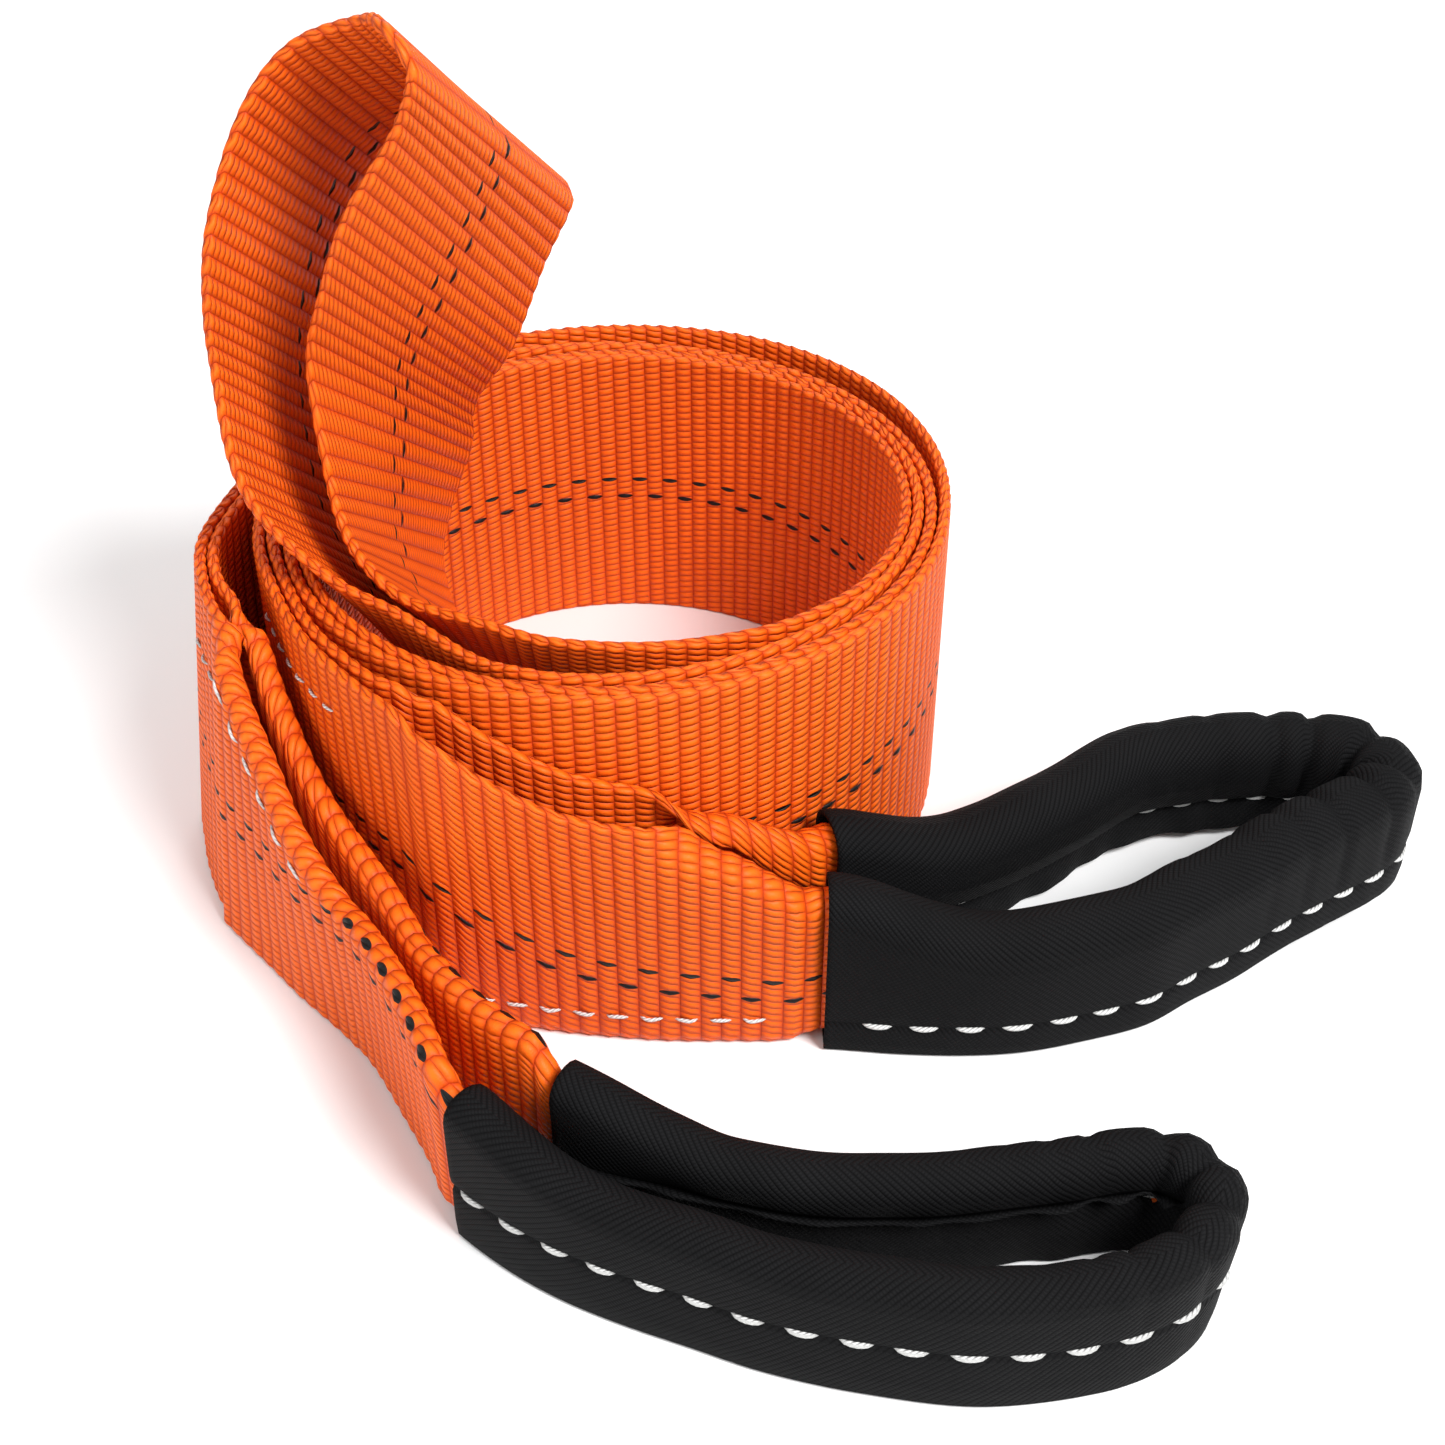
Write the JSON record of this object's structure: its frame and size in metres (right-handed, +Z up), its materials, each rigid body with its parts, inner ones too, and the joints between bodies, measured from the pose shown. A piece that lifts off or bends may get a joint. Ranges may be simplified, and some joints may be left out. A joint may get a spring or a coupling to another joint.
{
  "type": "tow strap",
  "caption": "Flat woven tow strap coiled on edge, its doubled middle standing up as a loop and a folded, sleeved eye at each end.",
  "frame": {"origin": "bottom centre of the strap's box, on the floor that it stands on", "axes": "+Z up, the coil's axis; -Y towards the viewer of the picture, where the sleeved eyes lie; +X to the right"},
  "size_m": [0.2828, 0.2802, 0.1915],
  "materials": {
    "webbing": "ribbed woven polyester",
    "sleeve": "black woven nylon"
  },
  "bodies": {
    "root": {"webbing": "webbing", "sleeve_a": "sleeve", "sleeve_b": "sleeve"}
  },
  "joints": []
}
